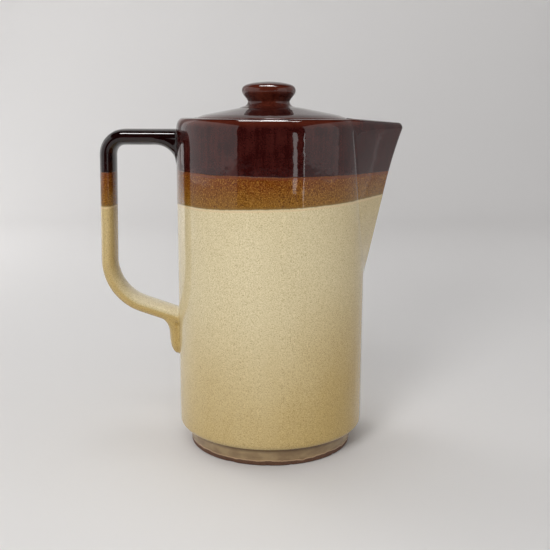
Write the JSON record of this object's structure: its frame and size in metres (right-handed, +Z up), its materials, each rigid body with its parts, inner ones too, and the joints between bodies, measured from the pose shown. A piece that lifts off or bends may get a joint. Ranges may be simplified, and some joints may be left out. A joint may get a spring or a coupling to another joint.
{
  "type": "coffee pot",
  "caption": "Straight-sided glazed stoneware coffee pot with a V-shaped pouring beak, a squared strap handle, a turned foot and a domed lid with a mushroom knob that lifts out of its sunk seat.",
  "frame": {"origin": "on the body's axis, in the plane of the foot ring's standing face, which is the table", "axes": "+Z up along the body's axis, +X out through the beak, -X out through the handle, +Y to the left of someone who looks along +X"},
  "size_m": [0.198, 0.123, 0.2394],
  "materials": {
    "glazed_body": "gloss cream glaze with fine brown specks",
    "banded_glaze": "gloss glaze in three bands: dark brown, amber, cream",
    "dark_glaze": "gloss dark red-brown glaze",
    "bare_foot": "bare matt clay where it stands, thin glaze above",
    "lid_underside": "thin glaze, bare along its lower edge"
  },
  "bodies": {
    "pot": {"body_wall": "glazed_body", "base_disc": "glazed_body", "foot_ring": "bare_foot", "shoulder_ring": "dark_glaze", "beak": "banded_glaze", "handle": "banded_glaze"},
    "lid": {"lid_dome": "dark_glaze", "lid_flange": "lid_underside", "lid_knob": "dark_glaze"}
  },
  "joints": [
    {"name": "lid_lift", "type": "slide", "parent": "pot", "child": "lid", "axis": [0, 0, 1], "range_m": [0, 0.06]}
  ]
}
